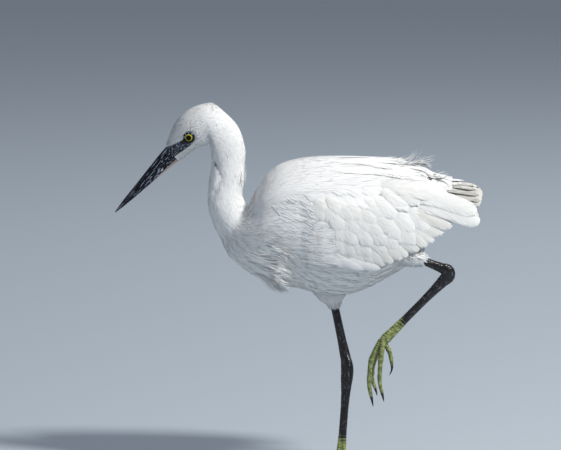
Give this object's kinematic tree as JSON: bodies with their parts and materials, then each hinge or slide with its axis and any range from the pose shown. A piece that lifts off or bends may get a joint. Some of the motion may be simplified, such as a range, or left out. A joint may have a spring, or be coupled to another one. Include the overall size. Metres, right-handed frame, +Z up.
{
  "type": "little egret",
  "caption": "Life-size still model of a white wading bird standing on one leg with the other raised, slim black bill pointing down, folded wings and long plumes.",
  "frame": {"origin": "on the floor, under the middle of the bird's outline", "axes": "+Z up, the bill points along -X, the bird's left side with the raised leg faces -Y"},
  "size_m": [0.3778, 0.1124, 0.3847],
  "materials": {
    "plumage": "soft white feathers",
    "bill": "black horn, satin",
    "eye": "yellow iris, glossy",
    "leg_skin": "black scaly skin, moist sheen",
    "foot_skin": "yellow-green scaly skin",
    "claw": "black horn"
  },
  "bodies": {
    "root": {"bill_lower": "bill", "bill_upper": "bill", "breast": "plumage", "claw_hind_left": "claw", "claw_hind_right": "claw", "claw_inner_left": "claw", "claw_inner_right": "claw", "claw_middle_left": "claw", "claw_middle_right": "claw", "claw_outer_left": "claw", "claw_outer_right": "claw", "eye_left": "eye", "eye_right": "eye", "head": "plumage", "heel_left": "leg_skin", "heel_right": "leg_skin", "mantle": "plumage", "neck_lower": "plumage", "neck_middle": "plumage", "neck_upper": "plumage", "shank_left": "leg_skin", "shank_right": "leg_skin", "tail": "plumage", "tarsus_left": "leg_skin", "tarsus_right": "leg_skin", "thigh_left": "plumage", "thigh_right": "plumage", "toe_hind_left": "foot_skin", "toe_hind_right": "foot_skin", "toe_inner_left": "foot_skin", "toe_inner_right": "foot_skin", "toe_middle_left": "foot_skin", "toe_middle_right": "foot_skin", "toe_outer_left": "foot_skin", "toe_outer_right": "foot_skin", "torso": "plumage", "wing_left": "plumage", "wing_right": "plumage"}
  },
  "joints": []
}
